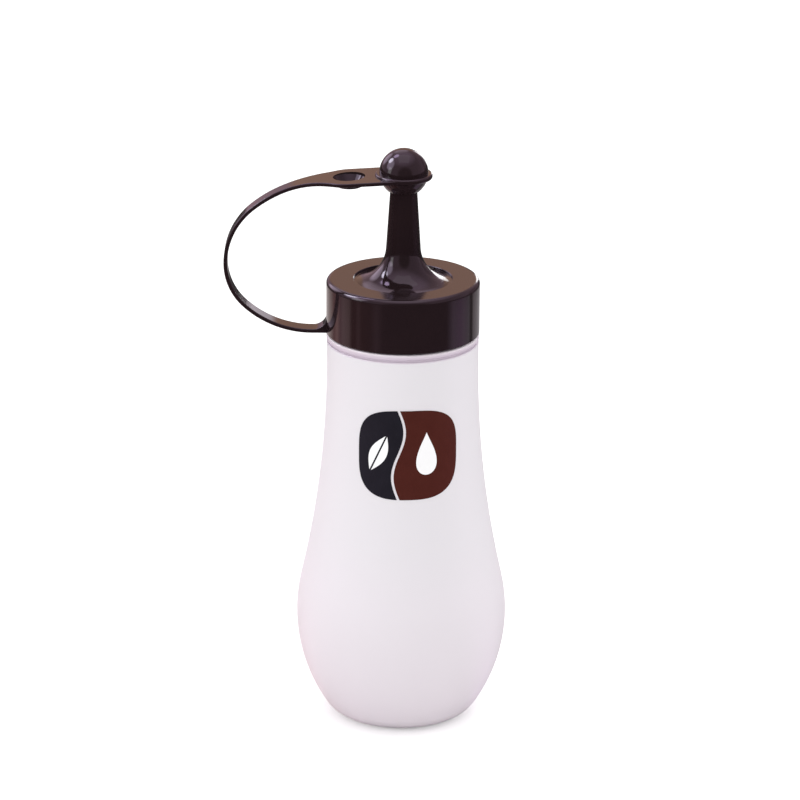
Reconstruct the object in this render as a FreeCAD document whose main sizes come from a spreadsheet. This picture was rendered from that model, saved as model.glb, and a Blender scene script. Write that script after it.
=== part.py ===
"""Squeeze bottle for oil and dressing: a blow-moulded bottle and a one-piece screw cap.

The cap is one moulding: skirt, top, flared nozzle, tether strap with its eye, and ball stopper.
Millimetres. The origin is on the bottle's axis, on the plane that it stands on. +Z is up, the
strap loops out towards -X and the bottle's front is -Y.
"""

import FreeCAD, Part

import math
import os

import Sketcher
from FreeCAD import Placement, Rotation, Vector

SHEET = "Sizes"

SIZES = {
    # bottle body, from the ground up
    "belly_radius": 35.35,
    "belly_height": 35.7,
    "belly_arc": 57.0,
    "heel_radius": 9.5,
    "body_inset": 0.2,
    "upright_height": 7.76,
    "shoulder_height": 132.0,
    "shoulder_round": 0.5,
    "shoulder_inside": 2.5,
    "wall": 1.1,
    "land_width": 1.8,
    "pushup_rise": 5.0,
    # bottle neck, with the bead that stands just under the cap
    "groove_depth": 0.6,
    "groove_height": 0.7,
    "bead_inset": 0.1,
    "bead_height": 1.9,
    "bead_round": 0.45,
    "neck_gap": 1.4,
    "neck_wall": 1.6,
    "neck_round": 0.4,
    # cap shell
    "cap_radius": 25.5,
    "cap_height": 18.4,
    "cap_wall": 1.7,
    "cap_top": 1.8,
    "cap_round": 1.65,
    "cap_inside_round": 1.0,
    "rim_round": 0.3,
    "rim_gap": 0.3,
    "recess_radius": 16.4,
    "recess_depth": 0.6,
    "recess_round": 0.25,
    # nozzle
    "nozzle_height": 33.9,
    "tip_radius": 4.25,
    "stem_angle": 3.7,
    "nozzle_wall": 1.9,
    "flare_foot": 15.6,
    "flare_arc": 11.9,
    "throat_arc": 11.0,
    # ball stopper
    "ball_radius": 8.1,
    "ball_rise": 2.5,
    "mouth_lip": 0.942,
    "flange_width": 1.4,
    "flange_thickness": 1.8,
    "flange_drop": 1.0,
    "flange_round": 0.7,
    "socket_gap": 0.25,
    # tether strap, by the line through the middle of its thickness
    "strap_width": 6.4,
    "strap_thickness": 1.3,
    "strap_round": 0.4,
    "root_depth": 1.2,
    "root_bite": 0.2,
    "root_fillet": 4.5,
    "root_run": 0.4,
    "loop_reach": 58.8,
    "loop_height": 23.8,
    "lower_bend": 19.7,
    "upper_bend": 24.4,
    "top_bend": 42.5,
    "eye_slope": 3.6,
    # eye at the stopper's end of the strap
    "eye_distance": 18.0,
    "eye_inset": 0.3,
    "eye_blend": 23.0,
    "hole_radius": 5.3,
    "hole_foot_radius": 3.5,
    "collar_radius": 5.9,
    "collar_foot_radius": 4.6,
    "collar_depth": 2.0,
    "collar_round": 0.7,
    # how far a cutting outline stands clear of what it cuts
    "trim_margin": 2.0,
}


class Size:
    """A length together with the spreadsheet formula that gives it."""

    def __init__(self, value, formula):
        self.value = value
        self.formula = formula

    def __float__(self):
        return float(self.value)

    def __add__(self, other):
        other = as_size(other)
        return Size(self.value + other.value, f"({self.formula} + {other.formula})")

    def __sub__(self, other):
        other = as_size(other)
        return Size(self.value - other.value, f"({self.formula} - {other.formula})")

    def __mul__(self, other):
        other = as_size(other)
        return Size(self.value * other.value, f"{self.formula} * {other.formula}")

    def __truediv__(self, other):
        other = as_size(other)
        return Size(self.value / other.value, f"{self.formula} / {other.formula}")


def as_size(number):
    return number if isinstance(number, Size) else Size(float(number), str(number))


def tangent_of(angle):
    """The tangent of an angle that the sheet holds in degrees."""
    return Size(math.tan(math.radians(angle.value)), f"tan({angle.formula} * 1 deg)")


def cosine_of(angle):
    """The cosine of an angle that the sheet holds in degrees."""
    return Size(math.cos(math.radians(angle.value)), f"cos({angle.formula} * 1 deg)")


def half_chord(radius, distance):
    """Half the length of a circle's chord that lies at this distance from the centre."""
    length = math.sqrt(radius.value**2 - distance.value**2)
    squares = radius * radius - distance * distance
    return Size(length, f"sqrt({squares.formula})")


class Sheet:
    """The spreadsheet of driving sizes, read as attributes of type Size."""

    def __init__(self, document):
        cells = document.addObject("Spreadsheet::Sheet", SHEET)
        for row, (alias, number) in enumerate(SIZES.items(), 1):
            cells.set(f"A{row}", alias)
            cells.set(f"B{row}", str(number))
            cells.setAlias(f"B{row}", alias)
            setattr(self, alias, Size(number, f"{SHEET}.{alias}"))
        document.recompute()


AXIS = Size(0.0, "0")
START, END, CENTRE = 1, 2, 3
ORIGIN = -1
LEVEL_AXIS, UPRIGHT_AXIS = -1, -2


class Pen:
    """Draws a chain of lines and arcs in a sketch, and ties their sizes to the sheet."""

    def __init__(self, body, name, plane="XZ_Plane"):
        self.sketch = body.newObject("Sketcher::SketchObject", name)
        self.sketch.AttachmentSupport = (origin_plane(body, plane), [""])
        self.sketch.MapMode = "FlatFace"
        self.first = None

    def shift(self, **distances):
        """Moves the sketch from its plane: x and y along the plane, z away from it."""
        start = [float(distances.get(key, AXIS)) for key in "xyz"]
        self.sketch.AttachmentOffset = Placement(Vector(*start), Rotation())
        for key, distance in distances.items():
            self.sketch.setExpression(f"AttachmentOffset.Base.{key}", distance.formula)

    def move(self, x, y):
        """Lifts the pen, so that the next piece starts a chain of its own."""
        self.at = Vector(float(x), float(y), 0)
        self.first = self.last = None

    def add(self, geometry, start, end, point, smooth):
        piece = self.sketch.addGeometry(geometry)
        if self.last:
            kind = "Tangent" if smooth else "Coincident"
            self.rule(kind, *self.last, piece, start)
        else:
            self.first = (piece, start)
        self.last = (piece, end)
        self.at = point
        return piece

    def line(self, x, y, smooth=False):
        point = Vector(float(x), float(y), 0)
        return self.add(Part.LineSegment(self.at, point), START, END, point, smooth)

    def arc(self, centre, x, y, left, smooth=True):
        """An arc about the centre to a point. It turns left or right as the pen travels."""
        centre = Vector(float(centre[0]), float(centre[1]), 0)
        point = Vector(float(x), float(y), 0)
        begin, finish = self.at - centre, point - centre
        angles = [math.atan2(begin.y, begin.x), math.atan2(finish.y, finish.x)]
        ends = [START, END]
        if not left:
            angles.reverse()
            ends.reverse()
        if angles[1] < angles[0]:
            angles[1] += 2 * math.pi
        circle = Part.Circle(centre, Vector(0, 0, 1), begin.Length)
        return self.add(Part.ArcOfCircle(circle, *angles), *ends, point, smooth)

    def close(self, smooth=False):
        self.rule("Tangent" if smooth else "Coincident", *self.last, *self.first)

    def rule(self, kind, *parts):
        return self.sketch.addConstraint(Sketcher.Constraint(kind, *parts))

    def tie(self, kind, *parts, size):
        """A constraint whose value follows the sheet."""
        index = self.rule(kind, *parts, float(size))
        self.sketch.setExpression(f"Constraints[{index}]", size.formula)

    def tie_angle(self, line, degrees):
        """Sets a line's heading, in degrees from the sketch's level axis."""
        index = self.rule("Angle", line, math.radians(float(degrees)))
        self.sketch.setExpression(f"Constraints[{index}]", f"{degrees.formula} * 1 deg")

    def tie_x(self, piece, point, size):
        if size is AXIS:
            self.rule("PointOnObject", piece, point, UPRIGHT_AXIS)
        elif size.value < 0:
            self.tie("DistanceX", piece, point, ORIGIN, START, size=AXIS - size)
        else:
            self.tie("DistanceX", ORIGIN, START, piece, point, size=size)

    def tie_y(self, piece, point, size):
        if size is AXIS:
            self.rule("PointOnObject", piece, point, LEVEL_AXIS)
        elif size.value < 0:
            self.tie("DistanceY", piece, point, ORIGIN, START, size=AXIS - size)
        else:
            self.tie("DistanceY", ORIGIN, START, piece, point, size=size)

    def steps(self, corners, smooth=False):
        """Level and upright lines through right-angled corners (x, y, round), round or sharp.

        Each line is tied to the size that it keeps. The last corner ends the last line.
        """
        for index, (x, y, radius) in enumerate(corners):
            corner = Vector(float(x), float(y), 0)
            level = abs(corner.y - self.at.y) < abs(corner.x - self.at.x)
            travel = (corner - self.at).normalize()
            short = travel * float(radius) if radius else Vector()
            stop = corner - short
            piece = self.line(stop.x, stop.y, smooth)
            self.rule("Horizontal" if level else "Vertical", piece)
            if level:
                self.tie_y(piece, START, y)
            else:
                self.tie_x(piece, START, x)
            smooth = bool(radius)
            if radius:
                after = corners[index + 1]
                turn = (Vector(float(after[0]), float(after[1]), 0) - corner).normalize()
                inward = turn * float(radius)
                centre = stop + inward
                left = travel.cross(turn).z > 0
                curve = self.arc((centre.x, centre.y), *(corner + inward)[:2], left)
                self.tie("Radius", curve, size=radius)
        return piece


def origin_plane(body, role):
    return next(item for item in body.Origin.OriginFeatures if item.Role == role)


def feature(body, kind, name, pen, **settings):
    """Adds a sketch-based feature to the body and checks that it adds or removes material."""
    before = body.Shape.Volume if body.Tip else 0.0
    item = body.newObject(f"PartDesign::{kind}", name)
    item.Profile = pen.sketch
    if kind in ("Revolution", "Groove"):
        item.ReferenceAxis = (pen.sketch, ["V_Axis"])
        item.Angle = 360.0
    for key, setting in settings.items():
        if isinstance(setting, Size):
            item.setExpression(key, setting.formula)
        else:
            setattr(item, key, setting)
    body.Document.recompute()
    if abs(body.Shape.Volume - before) < 1.0:
        raise RuntimeError(f"{name} changes nothing")
    pen.sketch.Visibility = False
    return item


# ---------------------------------------------------------------- bottle


def draw_bottle_side(pen, s, levels, inset):
    """The body's side from the foot to the foot of its upright top, moved inwards by inset.

    The foot's land is tangent to the heel, the heel to the belly, the belly to the long hollow
    flank, and the flank to the upright top. Returns the land and the radius of the upright.
    """
    belly, heel = s.belly_arc - inset, s.heel_radius - inset
    top = levels.body_top_radius - inset
    middle = s.belly_radius - s.belly_arc
    belly_x, belly_y = float(middle), float(s.belly_height)
    reach = float(s.belly_arc) - float(s.heel_radius)
    drop = belly_y - float(s.heel_radius)
    heel_x = belly_x + math.sqrt(reach**2 - drop**2)
    heel_y = float(s.heel_radius)
    rise = float(levels.upright_foot) - belly_y
    across = float(top) - belly_x
    flank = (across**2 + rise**2 - float(belly) ** 2) / (2 * (float(belly) - across))
    flank_x = float(top) + flank
    low, high = math.atan2(-drop, heel_x - belly_x), math.atan2(rise, flank_x - belly_x)
    ground = float(inset)

    land = pen.line(heel_x, ground)
    pen.rule("Horizontal", land)
    pen.tie_y(land, START, inset)
    foot = pen.arc(
        (heel_x, heel_y),
        heel_x + float(heel) * math.cos(low),
        heel_y + float(heel) * math.sin(low),
        left=True,
    )
    pen.tie("Radius", foot, size=heel)
    side = pen.arc(
        (belly_x, belly_y),
        belly_x + float(belly) * math.cos(high),
        belly_y + float(belly) * math.sin(high),
        left=True,
    )
    pen.tie("Radius", side, size=belly)
    pen.tie_x(side, CENTRE, middle)
    pen.tie_y(side, CENTRE, s.belly_height)
    hollow = pen.arc((flank_x, levels.upright_foot), top, levels.upright_foot, left=False)
    pen.tie_y(hollow, CENTRE, levels.upright_foot)
    return land, top


def draw_pushup(pen, s, inset):
    """The shallow dome under the bottle, from the axis to the inner edge of the foot's land."""
    belly_x = float(s.belly_radius) - float(s.belly_arc)
    reach = float(s.belly_arc) - float(s.heel_radius)
    drop = float(s.belly_height) - float(s.heel_radius)
    edge = belly_x + math.sqrt(reach**2 - drop**2) - float(s.land_width)
    crown = s.pushup_rise + inset
    rise = float(s.pushup_rise)
    radius = (edge**2 + rise**2) / (2 * rise)
    pen.move(AXIS, crown)
    dome = pen.arc((AXIS, float(crown) - radius), edge, float(inset), left=False)
    pen.tie_x(dome, CENTRE, AXIS)
    pen.tie_y(dome, END, crown)
    return dome


def make_bottle(document, s, levels):
    body = document.addObject("PartDesign::Body", "bottle")
    body.Label = "bottle"

    outer = Pen(body, "bottle_outside")
    dome = draw_pushup(outer, s, AXIS)
    outer.last = (dome, START)
    land, top = draw_bottle_side(outer, s, levels, AXIS)
    outer.tie("DistanceX", land, START, land, END, size=s.land_width)
    outer.steps(
        [
            (top, s.shoulder_height, s.shoulder_round),
            (levels.groove_radius, s.shoulder_height, None),
            (levels.groove_radius, levels.bead_foot, None),
            (levels.bead_radius, levels.bead_foot, s.bead_round),
            (levels.bead_radius, levels.bead_top, s.bead_round),
            (levels.neck_radius, levels.bead_top, None),
            (levels.neck_radius, levels.ceiling, s.neck_round),
            (AXIS, levels.ceiling, None),
            (AXIS, s.pushup_rise, None),
        ],
        smooth=True,
    )
    outer.close()
    feature(body, "Revolution", "bottle_solid", outer)

    bore = levels.neck_radius - s.neck_wall
    inner = Pen(body, "bottle_inside")
    dome = draw_pushup(inner, s, s.wall)
    inner.last = (dome, START)
    land, top = draw_bottle_side(inner, s, levels, s.wall)
    inner.tie("DistanceX", land, START, land, END, size=s.land_width)
    inner.steps(
        [
            (top, levels.bead_foot, s.shoulder_inside),
            (bore, levels.bead_foot, None),
            (bore, levels.ceiling, None),
            (AXIS, levels.ceiling, None),
            (AXIS, s.pushup_rise + s.wall, None),
        ],
        smooth=True,
    )
    inner.close()
    feature(body, "Groove", "bottle_hollow", inner)
    return body


# ---------------------------------------------------------------- cap


def strap_line(s, levels):
    """Centres and joints of the arcs that the middle of the strap's thickness follows.

    The strap leaves the skirt level, climbs through two arcs to its farthest point, where it
    stands upright, and comes back over two more arcs to the straight run that holds the eye.
    """
    reach, loop = float(s.loop_reach), float(levels.loop)
    root_x, root_y = -float(levels.root_bend), float(levels.strap_root)
    low, high, top = float(s.lower_bend), float(s.upper_bend), float(s.top_bend)
    across, up = reach + root_x, loop - root_y
    first = (across**2 + up**2 - 2 * across * low) / (2 * (up - low))
    centres = [
        Vector(root_x, root_y + first, 0),
        Vector(low - reach, loop, 0),
        Vector(high - reach, loop, 0),
    ]
    slope = math.radians(float(s.eye_slope))
    along = Vector(math.cos(slope), math.sin(slope), 0)
    below = Vector(math.sin(slope), -math.cos(slope), 0)
    start = Vector(0, float(levels.flange), 0) + below * top - centres[2]
    spread = top - high
    back = start.dot(along)
    back -= math.sqrt(back**2 - start.dot(start) + spread**2)
    centres.append(centres[2] + start - along * back)
    joints = [
        Vector(root_x, root_y, 0),
        centres[1] + (centres[1] - centres[0]).normalize() * low,
        Vector(-reach, loop, 0),
        centres[2] + (centres[2] - centres[3]).normalize() * high,
        centres[3] - below * top,
    ]
    return centres, joints


def draw_strap_side(pen, s, levels):
    """The strap seen from the front, from its root in the skirt wall to the stopper's axis."""
    half = s.strap_thickness / 2
    centres, joints = strap_line(s, levels)

    def offset(index, distance):
        """A joint moved away from the centre of the arc that it belongs to."""
        centre = centres[min(index, len(centres) - 1)]
        return joints[index] + (joints[index] - centre).normalize() * distance

    low_face, high_face = levels.strap_root - half, levels.strap_root + half
    root = AXIS - (s.cap_radius - s.root_depth)
    skirt = AXIS - (s.cap_radius - s.root_bite)
    run_start = AXIS - levels.root_bend
    thick = float(half)
    end_half = half / cosine_of(s.eye_slope)

    pen.move(root, low_face)
    under = pen.line(*offset(0, thick)[:2])
    pen.rule("Horizontal", under)
    pen.tie_x(under, START, root)
    pen.tie_y(under, START, low_face)
    pen.tie_x(under, END, run_start)
    outside = []
    for index, centre in enumerate(centres):
        outside.append(pen.arc(centre, *offset(index + 1, thick)[:2], left=False))
    pen.tie("Radius", outside[1], size=s.lower_bend + half)
    pen.tie("Radius", outside[2], size=s.upper_bend + half)
    pen.tie("Radius", outside[3], size=s.top_bend + half)
    pen.tie_x(outside[1], START, AXIS - (s.loop_reach + half))
    pen.tie_y(outside[1], START, levels.loop)
    pen.rule("Horizontal", outside[1], CENTRE, outside[1], START)
    above = pen.line(AXIS, levels.flange + end_half, smooth=True)
    pen.tie_angle(above, s.eye_slope)
    pen.tie_x(above, END, AXIS)
    pen.tie_y(above, END, levels.flange + end_half)
    pen.line(AXIS, levels.flange - end_half)
    below = pen.line(*offset(4, -thick)[:2])
    pen.rule("Parallel", above, below)
    pen.tie_x(below, START, AXIS)
    pen.tie_y(below, START, levels.flange - end_half)
    for index in reversed(range(4)):
        inside = pen.arc(centres[index], *offset(index, -thick)[:2], left=True)
        pen.rule("Coincident", inside, CENTRE, outside[index], CENTRE)
    over = pen.line(float(skirt) - float(s.root_fillet), high_face, smooth=True)
    pen.rule("Horizontal", over)
    fillet_top = high_face + s.root_fillet
    fillet = pen.arc(
        (float(skirt) - float(s.root_fillet), fillet_top), skirt, fillet_top, left=True
    )
    pen.tie("Radius", fillet, size=s.root_fillet)
    pen.tie_x(fillet, END, skirt)
    pen.rule("Horizontal", fillet, CENTRE, fillet, END)
    shelf = pen.line(root, fillet_top)
    pen.rule("Horizontal", shelf)
    pen.line(root, low_face)
    pen.close()
    pen.rule("Vertical", shelf, END, under, START)


def draw_box(pen, left, right, low, high):
    """A rectangle whose four sides follow the sheet."""
    pen.move(left, low)
    corners = [(right, low, None), (right, high, None), (left, high, None), (left, low, None)]
    pen.steps(corners)
    pen.close()


def draw_eye_plan(pen, s, levels):
    """The strap and its eye from above: level flanks, the round of the eye and the blends."""
    wide, narrow = levels.eye_half_width, s.strap_width / 2
    run = s.eye_distance + s.eye_blend
    far = AXIS - (s.loop_reach + s.trim_margin)
    near = s.trim_margin
    lift = float(wide) - float(narrow)
    blend = (float(s.eye_blend) ** 2 + float(narrow) ** 2 - float(wide) ** 2) / (2 * lift)
    eye_x = -float(s.eye_distance)
    hub = Vector(eye_x, 0, 0)
    for side in (1, -1):
        left = side > 0
        outer, inner = (wide, narrow) if left else (AXIS - wide, AXIS - narrow)
        saddle = Vector(-float(run), side * (float(narrow) + blend), 0)
        touch = hub + (saddle - hub).normalize() * float(wide)
        if left:
            pen.move(near, outer)
            flank = pen.line(eye_x, outer)
            pen.rule("Horizontal", flank)
            pen.tie_x(flank, START, near)
            pen.tie_y(flank, START, outer)
            first = pen.arc(hub, touch.x, touch.y, left=True)
            second = pen.arc(saddle, -float(run), inner, left=False)
            edge = pen.line(far, inner, smooth=True)
            pen.tie_x(edge, END, far)
            pen.line(far, AXIS - inner)
        else:
            edge = pen.line(-float(run), inner)
            second = pen.arc(saddle, touch.x, touch.y, left=False)
            first = pen.arc(hub, eye_x, outer, left=True)
            flank = pen.line(near, outer, smooth=True)
            pen.rule("Horizontal", flank)
            pen.tie_x(flank, END, near)
            pen.tie_y(flank, END, outer)
            pen.tie_x(edge, START, far)
        pen.rule("Horizontal", edge)
        pen.tie_y(edge, START, inner)
        pen.tie("Radius", first, size=wide)
        pen.tie_x(first, CENTRE, AXIS - s.eye_distance)
        pen.tie_x(second, CENTRE, AXIS - run)
    pen.line(near, wide)
    pen.close()


def round_strap_edges(body, s):
    """Rounds the strap's long edges, where a broad face meets an upright flank."""
    shape = body.Tip.Shape
    names = []
    for index, edge in enumerate(shape.Edges, 1):
        middle = edge.valueAt((edge.FirstParameter + edge.LastParameter) / 2)
        broad = flank = False
        for face in shape.ancestorsOfType(edge, Part.Face):
            normal = face.normalAt(*face.Surface.parameter(middle))
            broad = broad or abs(normal.y) < 1e-6
            flank = flank or (abs(normal.z) < 1e-6 and abs(normal.y) > 0.1)
        if broad and flank and edge.Length > 2 * float(s.strap_thickness):
            names.append(f"Edge{index}")
    rounds = body.newObject("PartDesign::Fillet", "strap_rounds")
    rounds.Base = (body.Group[-2], names)
    rounds.setExpression("Radius", s.strap_round.formula)
    body.Document.recompute()


def add_strap(body, s, levels):
    """The strap, cut from a bent slab to its plan: a round eye that narrows to a plain band."""
    side = Pen(body, "strap_side")
    draw_strap_side(side, s, levels)
    width = levels.eye_half_width * 2 + s.trim_margin
    feature(body, "Pad", "strap_slab", side, Length=width, SideType="Symmetric")

    far = AXIS - (s.loop_reach + s.trim_margin * 2)
    near = s.trim_margin * 2
    reach = levels.eye_half_width + s.trim_margin
    plan = Pen(body, "eye_plan", "XY_Plane")
    plan.shift(z=levels.loop)
    draw_eye_plan(plan, s, levels)
    draw_box(plan, far, near, AXIS - reach, reach)
    feature(body, "Pocket", "eye_trim", plan, Type="ThroughAll", Reversed=True)

    band = Pen(body, "band_plan", "XY_Plane")
    band.shift(z=levels.loop)
    half = s.strap_width / 2
    draw_box(band, far, near, half, reach)
    draw_box(band, far, near, AXIS - reach, AXIS - half)
    feature(body, "Pocket", "band_trim", band, Type="ThroughAll")
    round_strap_edges(body, s)


def tangent_point(point, centre, radius, side):
    """Where a line from a point touches a circle, on its left (side 1) or right (side -1)."""
    gap = centre - point
    turn = side * math.asin(radius / gap.Length)
    length = math.sqrt(gap.Length**2 - radius**2)
    heading = math.atan2(gap.y, gap.x) + turn
    return point + Vector(math.cos(heading), math.sin(heading), 0) * length


def add_eye_collar(body, s, levels):
    """The tapered collar that hangs under the eye, and the hole through both."""
    foot = AXIS - (s.strap_thickness / 2 + s.collar_depth)
    collar = Pen(body, "collar_side")
    collar.shift(x=AXIS - s.eye_distance, y=levels.eye)
    rounding = float(s.collar_round)
    inner_x = s.collar_foot_radius - s.collar_round
    centre = Vector(float(inner_x), float(foot) + rounding, 0)
    brim = Vector(float(s.collar_radius), 0, 0)
    touch = tangent_point(brim, centre, rounding, 1)
    collar.move(AXIS, AXIS)
    top = collar.line(brim.x, brim.y)
    collar.rule("Horizontal", top)
    collar.tie_x(top, START, AXIS)
    collar.tie_y(top, START, AXIS)
    collar.tie_x(top, END, s.collar_radius)
    collar.line(touch.x, touch.y)
    lip = collar.arc(centre, inner_x, foot, left=False)
    collar.tie("Radius", lip, size=s.collar_round)
    collar.tie_x(lip, START, inner_x)
    bottom = collar.line(AXIS, foot, smooth=True)
    collar.rule("Horizontal", bottom)
    collar.tie_y(bottom, END, foot)
    collar.line(AXIS, AXIS)
    collar.close()
    collar.rule("PointOnObject", bottom, END, UPRIGHT_AXIS)
    feature(body, "Revolution", "eye_collar", collar)

    hole = Pen(body, "hole_side")
    hole.shift(x=AXIS - s.eye_distance, y=levels.eye)
    over = s.strap_thickness + s.trim_margin
    under = foot - s.trim_margin
    hole.move(AXIS, over)
    hole.steps([(s.hole_radius, over, None), (s.hole_radius, AXIS, None)])
    taper = hole.line(s.hole_foot_radius, foot)
    hole.tie_y(taper, START, AXIS)
    hole.tie_x(taper, END, s.hole_foot_radius)
    hole.tie_y(taper, END, foot)
    foot_line = hole.line(s.hole_foot_radius, under)
    hole.rule("Vertical", foot_line)
    hole.steps([(AXIS, under, None), (AXIS, over, None)])
    hole.close()
    feature(body, "Groove", "eye_hole", hole)


def add_stopper(body, s, levels):
    """The ball with its flange, and the blind socket that takes the nozzle's tip."""
    ball = Pen(body, "ball_side")
    radius, middle = float(s.ball_radius), float(levels.ball)
    hub = (AXIS, levels.ball)
    half = s.flange_thickness / 2
    low, high = levels.flange - half, levels.flange + half

    def ball_x(height):
        return math.sqrt(radius**2 - (float(height) - middle) ** 2)

    ball.move(AXIS, levels.mouth)
    mouth = ball.line(ball_x(levels.mouth), levels.mouth)
    ball.rule("Horizontal", mouth)
    ball.tie_y(mouth, START, levels.mouth)
    lower = ball.arc(hub, ball_x(low), low, left=True, smooth=False)
    ball.tie_x(lower, CENTRE, AXIS)
    ball.tie_y(lower, CENTRE, levels.ball)
    ball.tie("Radius", lower, size=s.ball_radius)
    ball.steps(
        [
            (levels.flange_radius, low, s.flange_round),
            (levels.flange_radius, high, s.flange_round),
            (Size(ball_x(high), ""), high, None),
        ]
    )
    upper = ball.arc(hub, AXIS, middle + radius, left=True, smooth=False)
    ball.rule("Coincident", upper, CENTRE, lower, CENTRE)
    ball.rule("Equal", upper, lower)
    ball.steps([(AXIS, levels.mouth, None)])
    ball.close()
    feature(body, "Revolution", "ball", ball)

    socket = Pen(body, "socket_side")
    below = levels.mouth - s.trim_margin
    roof = levels.tip + s.socket_gap
    top_x = levels.socket_radius
    foot_x = top_x + (roof - below) * tangent_of(s.stem_angle)
    socket.move(AXIS, below)
    floor = socket.line(foot_x, below)
    socket.rule("Horizontal", floor)
    socket.tie_y(floor, START, below)
    socket.tie_x(floor, END, foot_x)
    socket.line(top_x, roof)
    ceiling = socket.line(AXIS, roof)
    socket.rule("Horizontal", ceiling)
    socket.tie_y(ceiling, START, roof)
    socket.tie_x(ceiling, START, top_x)
    socket.steps([(AXIS, below, None)])
    socket.close()
    feature(body, "Groove", "socket", socket)


def nozzle_side(s, levels, end_radius):
    """A point on the nozzle's sloping side at the tip, the side's heading and its normal."""
    lean = math.radians(float(s.stem_angle))
    tip = Vector(float(end_radius), float(levels.tip), 0)
    down = Vector(math.sin(lean), -math.cos(lean), 0)
    out = Vector(math.cos(lean), math.sin(lean), 0)
    return tip, down, out


def draw_nozzle_side(pen, s, levels, end_radius):
    """The sloping side from the pen up to the nozzle's tip, and back to the axis."""
    side = pen.line(end_radius, levels.tip, smooth=True)
    pen.tie_angle(side, s.stem_angle + 90)
    pen.tie_x(side, END, end_radius)
    pen.tie_y(side, END, levels.tip)
    end = pen.line(AXIS, levels.tip)
    pen.rule("Horizontal", end)
    pen.steps([(AXIS, levels.rim, None)])
    pen.close()


def add_shell(body, s, levels):
    """Skirt, top and nozzle, turned as one shell with the flare's wall about even."""
    outside = Pen(body, "shell_outside")
    outside.move(AXIS, levels.rim)
    outside.steps(
        [
            (s.cap_radius, levels.rim, s.rim_round),
            (s.cap_radius, levels.top, s.cap_round),
            (s.recess_radius, levels.top, s.recess_round),
            (s.recess_radius, levels.recess_floor, None),
            (s.flare_foot, levels.recess_floor, None),
        ]
    )
    bend = float(s.flare_arc)
    tip, down, out = nozzle_side(s, levels, s.tip_radius)
    foot = Vector(float(s.flare_foot), float(levels.recess_floor), 0)
    start = tip + out * bend - foot
    travel = -start.dot(down) - math.sqrt(start.dot(down) ** 2 - start.dot(start) + bend**2)
    touch = tip + down * travel
    flare = outside.arc(touch + out * bend, touch.x, touch.y, left=False, smooth=False)
    outside.tie("Radius", flare, size=s.flare_arc)
    outside.tie_x(flare, END, s.flare_foot)
    draw_nozzle_side(outside, s, levels, s.tip_radius)
    feature(body, "Revolution", "shell", outside)

    inside = Pen(body, "shell_inside")
    bore = s.tip_radius - s.nozzle_wall
    bend = float(s.throat_arc)
    tip, down, out = nozzle_side(s, levels, bore)
    centre_y = float(levels.ceiling) + bend
    height = float(levels.tip) - centre_y
    centre_x = float(bore) + height * (down.x / -down.y) + bend / out.x
    centre = Vector(centre_x, centre_y, 0)
    touch = centre - out * bend
    inside.move(AXIS, levels.rim)
    inside.steps(
        [
            (levels.skirt_inside, levels.rim, None),
            (levels.skirt_inside, levels.ceiling, s.cap_inside_round),
            (Size(centre_x, ""), levels.ceiling, None),
        ]
    )
    throat = inside.arc(centre, touch.x, touch.y, left=False)
    inside.tie("Radius", throat, size=s.throat_arc)
    draw_nozzle_side(inside, s, levels, bore)
    feature(body, "Groove", "shell_hollow", inside)


def make_cap(document, s, levels):
    body = document.addObject("PartDesign::Body", "cap")
    body.Label = "cap"
    add_strap(body, s, levels)
    add_eye_collar(body, s, levels)
    add_stopper(body, s, levels)
    add_shell(body, s, levels)
    return body


def make_levels(s):
    """Heights and radii that more than one piece is set out from."""

    class Levels:
        body_top_radius = s.cap_radius - s.body_inset
        upright_foot = s.shoulder_height - s.upright_height
        groove_radius = body_top_radius - s.groove_depth
        bead_radius = s.cap_radius - s.bead_inset
        skirt_inside = s.cap_radius - s.cap_wall
        neck_radius = skirt_inside - s.neck_gap
        bead_foot = s.shoulder_height + s.groove_height
        bead_top = bead_foot + s.bead_height
        rim = bead_top + s.rim_gap
        ceiling = rim + s.cap_height - s.cap_top
        top = rim + s.cap_height
        recess_floor = top - s.recess_depth
        tip = top + s.nozzle_height
        ball = tip + s.ball_rise
        socket_radius = s.tip_radius + s.socket_gap
        mouth = ball - half_chord(s.ball_radius, socket_radius + s.mouth_lip)
        flange = ball - s.flange_drop
        flange_radius = s.ball_radius + s.flange_width
        eye_half_width = flange_radius - s.eye_inset
        strap_root = rim + s.strap_thickness / 2
        loop = rim + s.loop_height
        eye = flange - s.eye_distance * tangent_of(s.eye_slope)
        root_bend = s.cap_radius - s.root_bite + s.root_fillet + s.root_run

    return Levels


def main():
    document = FreeCAD.newDocument("squeeze_bottle")
    s = Sheet(document)
    levels = make_levels(s)
    bodies = [make_bottle(document, s, levels), make_cap(document, s, levels)]
    document.recompute()
    for item in document.Objects:
        if "Invalid" in item.State or "Error" in item.State:
            raise RuntimeError(f"{item.Name}: {item.State}")
    os.makedirs("parts", exist_ok=True)
    for body in bodies:
        if body.Shape.isNull() or not body.Shape.isValid():
            raise RuntimeError(f"{body.Label} has no valid shape")
        body.Shape.exportStep(f"parts/{body.Label}.step")


main()
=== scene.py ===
"""Looks of the squeeze bottle: frosted body, brown cap, printed emblem, studio and camera."""

import math

import bpy
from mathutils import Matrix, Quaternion, Vector
from mathutils.bvhtree import BVHTree


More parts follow.
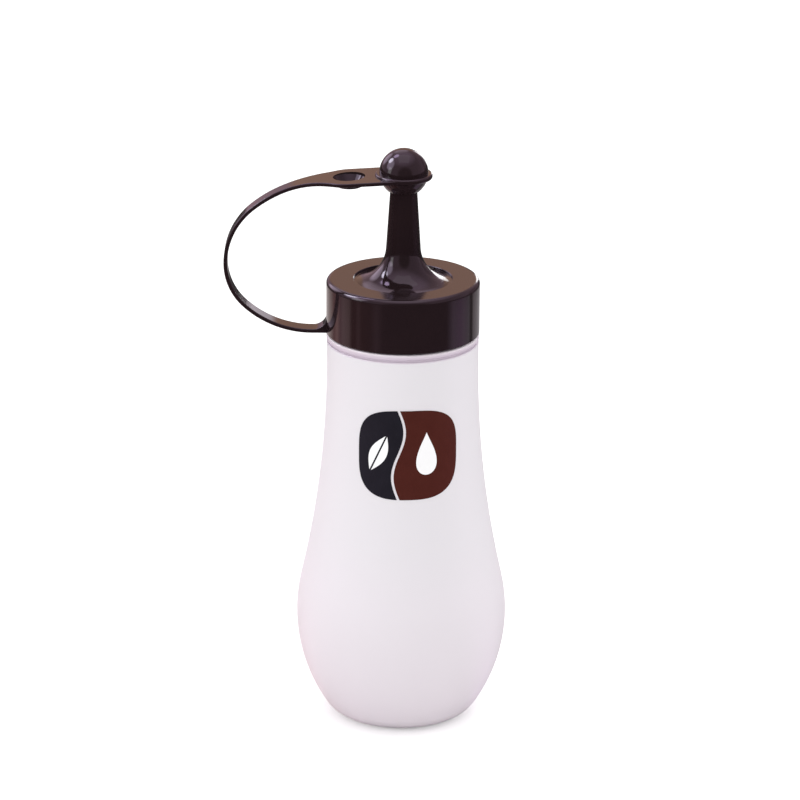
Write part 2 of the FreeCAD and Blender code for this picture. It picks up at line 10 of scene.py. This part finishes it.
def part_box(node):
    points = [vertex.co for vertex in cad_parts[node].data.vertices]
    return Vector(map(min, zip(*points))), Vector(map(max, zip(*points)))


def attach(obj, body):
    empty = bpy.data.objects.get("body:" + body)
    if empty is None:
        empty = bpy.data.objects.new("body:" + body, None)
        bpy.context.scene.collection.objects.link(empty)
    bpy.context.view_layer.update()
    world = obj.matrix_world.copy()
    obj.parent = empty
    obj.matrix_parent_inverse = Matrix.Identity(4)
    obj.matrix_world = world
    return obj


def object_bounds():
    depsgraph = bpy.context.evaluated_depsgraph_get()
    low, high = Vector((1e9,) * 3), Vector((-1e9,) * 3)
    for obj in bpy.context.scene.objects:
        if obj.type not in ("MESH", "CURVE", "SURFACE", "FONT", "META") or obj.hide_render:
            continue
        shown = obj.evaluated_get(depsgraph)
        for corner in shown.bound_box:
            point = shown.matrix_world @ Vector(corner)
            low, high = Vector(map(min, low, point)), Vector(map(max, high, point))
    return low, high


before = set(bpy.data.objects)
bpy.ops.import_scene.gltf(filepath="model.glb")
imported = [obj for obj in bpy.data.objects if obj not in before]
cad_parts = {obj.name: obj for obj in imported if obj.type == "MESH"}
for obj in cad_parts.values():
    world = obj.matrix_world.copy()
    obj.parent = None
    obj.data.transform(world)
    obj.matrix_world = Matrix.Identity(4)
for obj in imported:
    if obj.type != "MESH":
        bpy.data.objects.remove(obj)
cad_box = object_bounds()

MM = 0.001

# ---------------------------------------------------------------- shader nodes


def new_material(name):
    """A material with its node tree and its Principled shader."""
    material = bpy.data.materials.new(name)
    material.use_nodes = True
    return material, material.node_tree, material.node_tree.nodes["Principled BSDF"]


def feed(tree, socket, value):
    """Sets a socket to a plain number, or links a node's output to it."""
    if isinstance(value, (int, float)):
        socket.default_value = value
    else:
        tree.links.new(value, socket)


def math_node(tree, operation, *values):
    """A math node over outputs or plain numbers."""
    node = tree.nodes.new("ShaderNodeMath")
    node.operation = operation
    for socket, value in zip(node.inputs, values):
        feed(tree, socket, value)
    return node.outputs["Value"]


def split_node(tree, vector):
    """The X, Y and Z outputs of a vector."""
    node = tree.nodes.new("ShaderNodeSeparateXYZ")
    tree.links.new(vector, node.inputs["Vector"])
    return node.outputs


def object_place(tree):
    """Where a point lies on its object, in m."""
    return tree.nodes.new("ShaderNodeTexCoord").outputs["Object"]


def range_node(tree, value, start, end, low=0.0, high=1.0, kind="LINEAR"):
    """Goes from low to high while a value goes from start to end."""
    node = tree.nodes.new("ShaderNodeMapRange")
    node.interpolation_type = kind
    node.inputs["From Min"].default_value = start
    node.inputs["From Max"].default_value = end
    node.inputs["To Min"].default_value = low
    node.inputs["To Max"].default_value = high
    tree.links.new(value, node.inputs["Value"])
    return node.outputs["Result"]


def ramp_node(tree, share, stops):
    """Colours along a share from 0 to 1, given as places and tones in rising order."""
    node = tree.nodes.new("ShaderNodeValToRGB")
    elements = node.color_ramp.elements
    while len(elements) < len(stops):
        elements.new(0.5)
    for element, (place, tone) in zip(elements, stops):
        element.position = place
        element.color = (*tone, 1)
    tree.links.new(share, node.inputs["Fac"])
    return node.outputs["Color"]


def mix_node(tree, factor, first, second):
    """Mixes two shaders: a factor of 0 gives the first, and 1 the second."""
    node = tree.nodes.new("ShaderNodeMixShader")
    feed(tree, node.inputs["Fac"], factor)
    tree.links.new(first, node.inputs[1])
    tree.links.new(second, node.inputs[2])
    return node.outputs["Shader"]


# ---------------------------------------------------------------- materials

# tones are linear red, green and blue; grains are noise scales, in cells per m
CAP_TONES = ((0.0125, 0.0070, 0.0085), (0.0165, 0.0090, 0.0105))
CAP_GRAIN = 90.0
CAP_IOR = 1.36
# roughness of the cap and of its flat top
GLOSSY, SATIN = 0.09, 0.18
# height of the flat top, and how far from it the satin reaches, in mm
CAP_TOP, TOP_MARGIN = 153.3, 0.06

BODY_ROUGHNESS = 0.42
BODY_IOR = 1.4
# share of light that shines through the wall
BODY_GLOW = 0.2
# tones of the body by share of its height, and then near its top by height in mm
BODY_TONES = [
    (0.0, (0.90, 0.825, 0.88)),
    (0.45, (0.885, 0.855, 0.89)),
]
# painted shade: a darker lavender band under the cap, then a lighter painted highlight on the
# bead's top
BEAD_SHADE_TONES = [
    (131.6, (0.885, 0.855, 0.89)),
    (132.1, (0.69, 0.59, 0.69)),
    (133.3, (0.71, 0.61, 0.71)),
    (133.9, (0.78, 0.69, 0.77)),
    (134.4, (0.92, 0.85, 0.90)),
]

INK_GRAIN = 220.0
INK_ROUGHNESS = 0.5
INK_GLOSS = 0.15
NAVY_TONES = ((0.0100, 0.0090, 0.0150), (0.0140, 0.0125, 0.0200))
BROWN_TONES = ((0.0640, 0.0090, 0.0050), (0.0780, 0.0130, 0.0080))
WHITE_TONES = ((0.86, 0.85, 0.86), (0.92, 0.91, 0.92))


def add_grain(tree, shader, scale, tones):
    """Lets the base colour vary a little between two tones."""
    noise = tree.nodes.new("ShaderNodeTexNoise")
    noise.inputs["Scale"].default_value = scale
    tree.links.new(object_place(tree), noise.inputs["Vector"])
    tone = ramp_node(tree, noise.outputs["Fac"], list(enumerate(tones)))
    tree.links.new(tone, shader.inputs["Base Color"])


def cap_plastic():
    """Glossy dark brown plastic, satin on the flat top of the cap."""
    material, tree, shader = new_material("cap_plastic")
    shader.inputs["IOR"].default_value = CAP_IOR
    add_grain(tree, shader, CAP_GRAIN, CAP_TONES)
    height = split_node(tree, object_place(tree))["Z"]
    on_top = math_node(tree, "COMPARE", height, CAP_TOP * MM, TOP_MARGIN * MM)
    finish = range_node(tree, on_top, 0, 1, low=GLOSSY, high=SATIN)
    tree.links.new(finish, shader.inputs["Roughness"])
    return material


def body_plastic(low, high):
    """Frosted milky plastic, faintly pink, with painted shade in a lavender band under the cap and
    a painted highlight on the bead's top.
    """
    material, tree, shader = new_material("body_plastic")
    shader.inputs["Roughness"].default_value = BODY_ROUGHNESS
    shader.inputs["IOR"].default_value = BODY_IOR
    stops = list(BODY_TONES)
    stops += [((height * MM - low) / (high - low), tone) for height, tone in BEAD_SHADE_TONES]
    height = split_node(tree, object_place(tree))["Z"]
    tone = ramp_node(tree, range_node(tree, height, low, high), stops)
    tree.links.new(tone, shader.inputs["Base Color"])
    glow = tree.nodes.new("ShaderNodeBsdfTranslucent")
    tree.links.new(tone, glow.inputs["Color"])
    shown = mix_node(tree, BODY_GLOW, shader.outputs["BSDF"], glow.outputs["BSDF"])
    tree.links.new(shown, tree.nodes["Material Output"].inputs["Surface"])
    return material


def ink(name, tones):
    """Printed ink, whose tone varies a little over its surface."""
    material, tree, shader = new_material(name)
    shader.inputs["Roughness"].default_value = INK_ROUGHNESS
    shader.inputs["Specular IOR Level"].default_value = INK_GLOSS
    add_grain(tree, shader, INK_GRAIN, tones)
    return material


# ---------------------------------------------------------------- printed emblem

# sizes are in mm; the tile's centre is given across and up, and other places from that centre
TILE_CENTRE = (1.8, 100.2)
TILE_HALF_WIDTH, TILE_HALF_HEIGHT = 16.0, 15.2
# how square the tile is: 2 is an ellipse
TILE_POWER = 3.4
WAVE_PLACE, WAVE_DEPTH, WAVE_GAP = -3.0, 2.0, 0.9
LEAF_PLACE, LEAF_LENGTH, LEAF_WIDTH = (-9.6, 0.4), 13.0, 5.6
LEAF_TURN = math.radians(24)
LEAF_GAP = 0.55
DROP_PLACE, DROP_LENGTH, DROP_WIDTH = (6.2, 0.4), 14.5, 9.4
# how pointed the drop is: 0 is an ellipse
DROP_TAPER = 1.4
OUTLINE_POINTS = 160

# a film's face lies FILM_THICK above its layer and its back FILM_STEP below, which is also the
# step between layers; the first layer lies one step above the bottle's skin
FILM_THICK, FILM_STEP = 0.05, 0.08
FILM_ROWS, FILM_COLUMNS = 72, 28
# share of an outline's height that its film leaves off at each end
FILM_MARGIN = 0.0005
# how far in front of the bottle the rays start that find its skin, in m
RAY_START = 1


def steps_of(count):
    """Even steps from 0 to 1, both included."""
    return [index / count for index in range(count + 1)]


def tile_width(height):
    """Half the tile's width at a height above its middle."""
    share = min(abs(height) / TILE_HALF_HEIGHT, 1.0)
    return TILE_HALF_WIDTH * (1 - share**TILE_POWER) ** (1 / TILE_POWER)


def wave(height):
    """Where the wavy line between the tile's two halves runs at a height."""
    return WAVE_PLACE + WAVE_DEPTH * math.sin(math.pi * height / TILE_HALF_HEIGHT)


def tile_half(side):
    """Outline of the half of the tile that lies left (-1) or right (1) of the wave."""
    turns = [math.pi * (share - 0.5) for share in steps_of(OUTLINE_POINTS)]
    heights = [TILE_HALF_HEIGHT * math.sin(turn) for turn in turns]
    edge, middle = [], []
    for height in heights:
        outer = side * tile_width(height)
        inner = wave(height) + side * WAVE_GAP / 2
        if side * (outer - inner) > 0:
            edge.append((outer, height))
            middle.append((inner, height))
    return edge + middle[::-1]


def leaf_half(side):
    """Outline of the leaf's half on one side of its vein."""
    lean = Vector((math.sin(LEAF_TURN), math.cos(LEAF_TURN)))
    across = Vector((lean.y, -lean.x)) * side
    outline = []
    for share in steps_of(OUTLINE_POINTS):
        bulge = math.sin(math.pi * share) * (LEAF_WIDTH - LEAF_GAP) / 2
        spine = Vector(LEAF_PLACE) + lean * (share - 0.5) * LEAF_LENGTH
        outline.append(tuple(spine + across * (LEAF_GAP / 2 + bulge)))
    return outline


def drop():
    """Outline of a drop with its point upwards."""
    outline = []
    for share in steps_of(OUTLINE_POINTS):
        turn = 2 * math.pi * share
        swell = math.sin(turn) * abs(math.sin(turn / 2)) ** DROP_TAPER
        across = DROP_PLACE[0] + swell * DROP_WIDTH / 2
        height = DROP_PLACE[1] + math.cos(turn) * DROP_LENGTH / 2
        outline.append((across, height))
    return outline


def span_at(outline, height):
    """The leftmost and rightmost place of a closed outline at a height."""
    crossings = []
    for (x0, z0), (x1, z1) in zip(outline, outline[1:] + outline[:1]):
        if min(z0, z1) <= height <= max(z0, z1) and z0 != z1:
            crossings.append(x0 + (x1 - x0) * (height - z0) / (z1 - z0))
    return min(crossings), max(crossings)


def film(name, outline, layer, material, skin):
    """A thin printed film on the bottle's front, inside an outline about the tile's centre."""
    low = min(height for _, height in outline)
    high = max(height for _, height in outline)
    margin = (high - low) * FILM_MARGIN
    spots = []
    for share in steps_of(FILM_ROWS):
        # the rows lie closer together near the outline's ends
        rise = (1 - math.cos(math.pi * share)) / 2
        height = low + margin + (high - low - 2 * margin) * rise
        left, right = span_at(outline, height)
        for along in steps_of(FILM_COLUMNS):
            x = TILE_CENTRE[0] + left + (right - left) * along
            z = TILE_CENTRE[1] + height
            start = Vector((x * MM, cad_box[0][1] - RAY_START, z * MM))
            place, normal, _, _ = skin.ray_cast(start, Vector((0, 1, 0)))
            spots.append((place, normal))
    lift = layer * FILM_STEP * MM
    verts = [place + normal * (lift + FILM_THICK * MM) for place, normal in spots]
    verts += [place + normal * (lift - FILM_STEP * MM) for place, normal in spots]
    back = len(spots)
    line = FILM_COLUMNS + 1
    faces = []
    for row in range(FILM_ROWS):
        for column in range(FILM_COLUMNS):
            a = row * line + column
            quad = (a, a + 1, a + line + 1, a + line)
            faces.append(quad)
            faces.append(tuple(back + corner for corner in reversed(quad)))
    rim = list(range(line))
    rim += [row * line + FILM_COLUMNS for row in range(1, FILM_ROWS + 1)]
    rim += [FILM_ROWS * line + column for column in reversed(range(FILM_COLUMNS))]
    rim += [row * line for row in reversed(range(1, FILM_ROWS))]
    for first, second in zip(rim, rim[1:] + rim[:1]):
        faces.append((second, first, back + first, back + second))
    mesh = bpy.data.meshes.new(name)
    mesh.from_pydata([tuple(vert) for vert in verts], [], faces)
    mesh.materials.append(material)
    piece = bpy.data.objects.new(name, mesh)
    bpy.context.scene.collection.objects.link(piece)
    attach(piece, "root")


def add_emblem(bottle):
    """A rounded tile in two inks, parted by a wave, with a leaf and a drop in white."""
    bpy.context.view_layer.update()
    skin = BVHTree.FromObject(bottle, bpy.context.evaluated_depsgraph_get())
    navy = ink("ink_navy", NAVY_TONES)
    brown = ink("ink_brown", BROWN_TONES)
    white = ink("ink_white", WHITE_TONES)
    film("emblem_left", tile_half(-1), 1, navy, skin)
    film("emblem_right", tile_half(1), 1, brown, skin)
    film("emblem_leaf_left", leaf_half(-1), 2, white, skin)
    film("emblem_leaf_right", leaf_half(1), 2, white, skin)
    film("emblem_drop", drop(), 2, white, skin)


# ---------------------------------------------------------------- stage, light and camera

AIM = Vector((-0.8, 0.0, 110.5)) * MM
DISTANCE = 1.5
ELEVATION = math.radians(19.13)
ROLL = math.radians(0.35)
LENS, SENSOR = 201.8, 36

WHITE = (1.0, 1.0, 1.0)
WORLD_LEVEL = 1.09

# each lamp's name, place, width, height and watts, and whether gloss shows it
LAMPS = [
    ("left_window", (-1.1, -0.36, 0.45), 0.35, 0.5, 1.6, True),
    ("right_window", (1.0, 0.55, 0.5), 0.3, 0.4, 1.4, False),
    ("back_window", (0.115, 0.376, 0.205), 0.07, 0.15, 0.13, True),
    ("overhead", (0.0, -0.1, 1.3), 0.9, 0.9, 1.5, True),
]

# what gloss shows of the studio: a plain tone, and softer patches that lie over it, each with
# its direction, its tone and the cosines where it starts and is full
ROOM_TONE = (0.72, 0.50, 0.66)
ROOM_PATCHES = [
    # the wall at the back, the dark side of the camera and the ceiling
    ((0.0, 1.0, 0.0), (0.70, 0.46, 0.54), 0.35, 0.75),
    ((0.10, -1.0, 0.10), (0.10, 0.08, 0.09), 0.75, 0.92),
    ((-0.05, -0.02, 1.0), (1.85, 1.3, 1.8), 0.62, 0.93),
    # lights at the left, and two above
    ((-0.63, 0.66, 0.36), (3.1, 2.45, 3.15), 0.945, 0.985),
    ((-0.84, -0.10, 0.50), (4.8, 3.9, 5.2), 0.93, 0.97),
    ((-0.735, 0.19, 0.65), (20.0, 18.5, 23.0), 0.978, 0.993),
    ((-0.42, 0.30, 0.86), (8.4, 6.4, 10.0), 0.982, 0.994),
    ((-0.12, 0.74, 0.66), (2.0, 1.5, 1.85), 0.94, 0.985),
    # the dark foot of the wall, at the right and at the back
    ((0.70, 0.72, 0.05), (0.35, 0.24, 0.30), 0.90, 0.96),
    ((0.18, 1.0, 0.02), (0.16, 0.11, 0.14), 0.94, 0.965),
    # a small light that glints on the strap, and the warm wall that the cap's top shows
    ((0.262, 0.945, 0.195), (1.75, 1.55, 1.70), 0.989, 0.996),
    ((0.0, 0.94, 0.34), (0.88, 0.52, 0.39), 0.965, 0.98),
]

FLOOR_SIZE = 12
FLOOR_TONE = (0.9, 0.9, 0.9)
FLOOR_FILL = 0.25
# how gloss shows the floor: its tones on either side of the bottle, by the turn from the front (0)
# to the back (1), and how strong they are at shares of the way from TABLE_NEAR to TABLE_FAR, which
# are distances from the bottle's foot in m
TABLE_LEFT = [
    (0.0, (0.04, 0.03, 0.035)),
    (0.16, (0.07, 0.04, 0.05)),
    (0.215, (0.46, 0.27, 0.33)),
    (0.27, (0.18, 0.06, 0.06)),
    (0.35, (0.24, 0.08, 0.07)),
    (0.383, (0.62, 0.32, 0.34)),
    (0.413, (0.25, 0.07, 0.06)),
    (0.45, (0.27, 0.10, 0.08)),
    (0.48, (1.15, 0.74, 0.74)),
    (0.55, (1.22, 0.78, 0.82)),
    (0.59, (0.78, 0.42, 0.48)),
    (0.635, (1.35, 0.78, 0.76)),
    (0.684, (0.62, 0.30, 0.30)),
    (0.74, (0.88, 0.64, 0.62)),
    (0.85, (0.92, 0.80, 0.79)),
    (1.0, (0.80, 0.74, 0.75)),
]
TABLE_RIGHT = [
    (0.0, (0.04, 0.03, 0.035)),
    (0.375, (0.05, 0.04, 0.06)),
    (0.41, (0.42, 0.33, 0.48)),
    (0.44, (0.80, 0.60, 0.87)),
    (0.52, (0.76, 0.49, 0.82)),
    (0.56, (0.74, 0.54, 0.78)),
    (0.60, (0.56, 0.46, 0.60)),
    (0.64, (0.50, 0.46, 0.53)),
    (0.665, (0.06, 0.08, 0.07)),
    (0.69, (0.06, 0.08, 0.07)),
    (0.715, (0.60, 0.53, 0.56)),
    (0.85, (0.56, 0.52, 0.54)),
]
TABLE_NEAR, TABLE_FAR = 0.4, 1.0
TABLE_FADE = [(0.11, 1.0), (0.23, 0.40), (0.45, 0.12)]


def add_lamp(name, place, width, height, watts, in_gloss):
    """A soft rectangular lamp that faces the object and that the camera doesn't see."""
    data = bpy.data.lights.new(name, "AREA")
    data.shape = "RECTANGLE"
    data.size = width
    data.size_y = height
    data.energy = watts
    piece = bpy.data.objects.new(name, data)
    bpy.context.scene.collection.objects.link(piece)
    piece.location = place
    aim = AIM - Vector(place)
    piece.rotation_mode = "QUATERNION"
    piece.rotation_quaternion = aim.to_track_quat("-Z", "Y")
    piece.visible_camera = False
    piece.visible_glossy = in_gloss


def background(tree, tone):
    """A part of the world in one tone."""
    node = tree.nodes.new("ShaderNodeBackground")
    node.inputs["Color"].default_value = (*tone, 1)
    return node.outputs["Background"]


def by_ray(tree, lit, gloss, camera):
    """One shader for the light on things, one for what gloss shows and one for the camera."""
    path = tree.nodes.new("ShaderNodeLightPath").outputs
    mirrored = math_node(tree, "MAXIMUM", path["Is Glossy Ray"], path["Is Transmission Ray"])
    shown = mix_node(tree, mirrored, lit, gloss)
    return mix_node(tree, path["Is Camera Ray"], shown, camera)


def add_world():
    """Soft even light. The camera sees white, and gloss shows the studio's patches."""
    world = bpy.data.worlds.new("studio")
    bpy.context.scene.world = world
    world.use_nodes = True
    tree = world.node_tree
    even = tree.nodes["Background"]
    even.inputs["Color"].default_value = (*WHITE, 1)
    even.inputs["Strength"].default_value = WORLD_LEVEL

    room = background(tree, ROOM_TONE)
    place = tree.nodes.new("ShaderNodeTexCoord")
    for direction, tone, start, full in ROOM_PATCHES:
        near = tree.nodes.new("ShaderNodeVectorMath")
        near.operation = "DOT_PRODUCT"
        near.inputs[1].default_value = Vector(direction).normalized()
        tree.links.new(place.outputs["Generated"], near.inputs[0])
        share = range_node(tree, near.outputs["Value"], start, full, kind="SMOOTHSTEP")
        room = mix_node(tree, share, room, background(tree, tone))
    shown = by_ray(tree, even.outputs["Background"], room, background(tree, WHITE))
    tree.links.new(shown, tree.nodes["World Output"].inputs["Surface"])


def table_light(tree):
    """What gloss shows of the floor: tones by the turn round the bottle, fading outwards."""
    place = tree.nodes.new("ShaderNodeNewGeometry").outputs["Position"]
    axes = split_node(tree, place)
    # -pi is the front, 0 the back, and pi the front again, reached by the right
    turn = math_node(tree, "ARCTAN2", axes["X"], axes["Y"])
    stops = [(share / 2, tone) for share, tone in TABLE_LEFT]
    stops += [(1 - share / 2, tone) for share, tone in reversed(TABLE_RIGHT)]
    reach = tree.nodes.new("ShaderNodeVectorMath")
    reach.operation = "LENGTH"
    tree.links.new(place, reach.inputs[0])
    away = range_node(tree, reach.outputs["Value"], TABLE_NEAR, TABLE_FAR)
    fade = [(share, (level, level, level)) for share, level in TABLE_FADE]
    table = tree.nodes.new("ShaderNodeEmission")
    turned = range_node(tree, turn, -math.pi, math.pi)
    tree.links.new(ramp_node(tree, turned, stops), table.inputs["Color"])
    tree.links.new(ramp_node(tree, away, fade), table.inputs["Strength"])
    return table.outputs["Emission"]


def add_floor():
    """A wide white floor that keeps the bottle's soft shadow."""
    bpy.ops.mesh.primitive_plane_add(size=FLOOR_SIZE)
    floor = bpy.context.object
    floor.name = "floor"
    material, tree, shader = new_material("floor_white")
    shader.inputs["Base Color"].default_value = (*FLOOR_TONE, 1)
    shader.inputs["Roughness"].default_value = 1.0
    shader.inputs["Specular IOR Level"].default_value = 0.0
    fill = tree.nodes.new("ShaderNodeEmission")
    fill.inputs["Strength"].default_value = FLOOR_FILL
    filled = tree.nodes.new("ShaderNodeAddShader")
    tree.links.new(shader.outputs["BSDF"], filled.inputs[0])
    tree.links.new(fill.outputs["Emission"], filled.inputs[1])
    shown = by_ray(tree, shader.outputs["BSDF"], table_light(tree), filled.outputs["Shader"])
    tree.links.new(shown, tree.nodes["Material Output"].inputs["Surface"])
    floor.data.materials.append(material)


def add_camera():
    """The camera looks along +Y and a little down, from the front of the bottle."""
    data = bpy.data.cameras.new("camera")
    data.sensor_width = SENSOR
    data.lens = LENS
    camera = bpy.data.objects.new("camera", data)
    bpy.context.scene.collection.objects.link(camera)
    back = Vector((0, -math.cos(ELEVATION), math.sin(ELEVATION)))
    camera.location = AIM + back * DISTANCE
    camera.rotation_mode = "QUATERNION"
    turn = (-back).to_track_quat("-Z", "Y")
    camera.rotation_quaternion = turn @ Quaternion((0, 0, 1), ROLL)
    bpy.context.scene.camera = camera


# ---------------------------------------------------------------- scene


def paint(node, material):
    """Gives a CAD node its material."""
    node.data.materials.clear()
    node.data.materials.append(material)


bottle_low, bottle_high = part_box("bottle")
paint(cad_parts["cap"], cap_plastic())
paint(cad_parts["bottle"], body_plastic(bottle_low.z, bottle_high.z))
add_emblem(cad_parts["bottle"])

add_world()
add_floor()
for row in LAMPS:
    add_lamp(*row)
add_camera()
bpy.context.scene.view_settings.view_transform = "Standard"
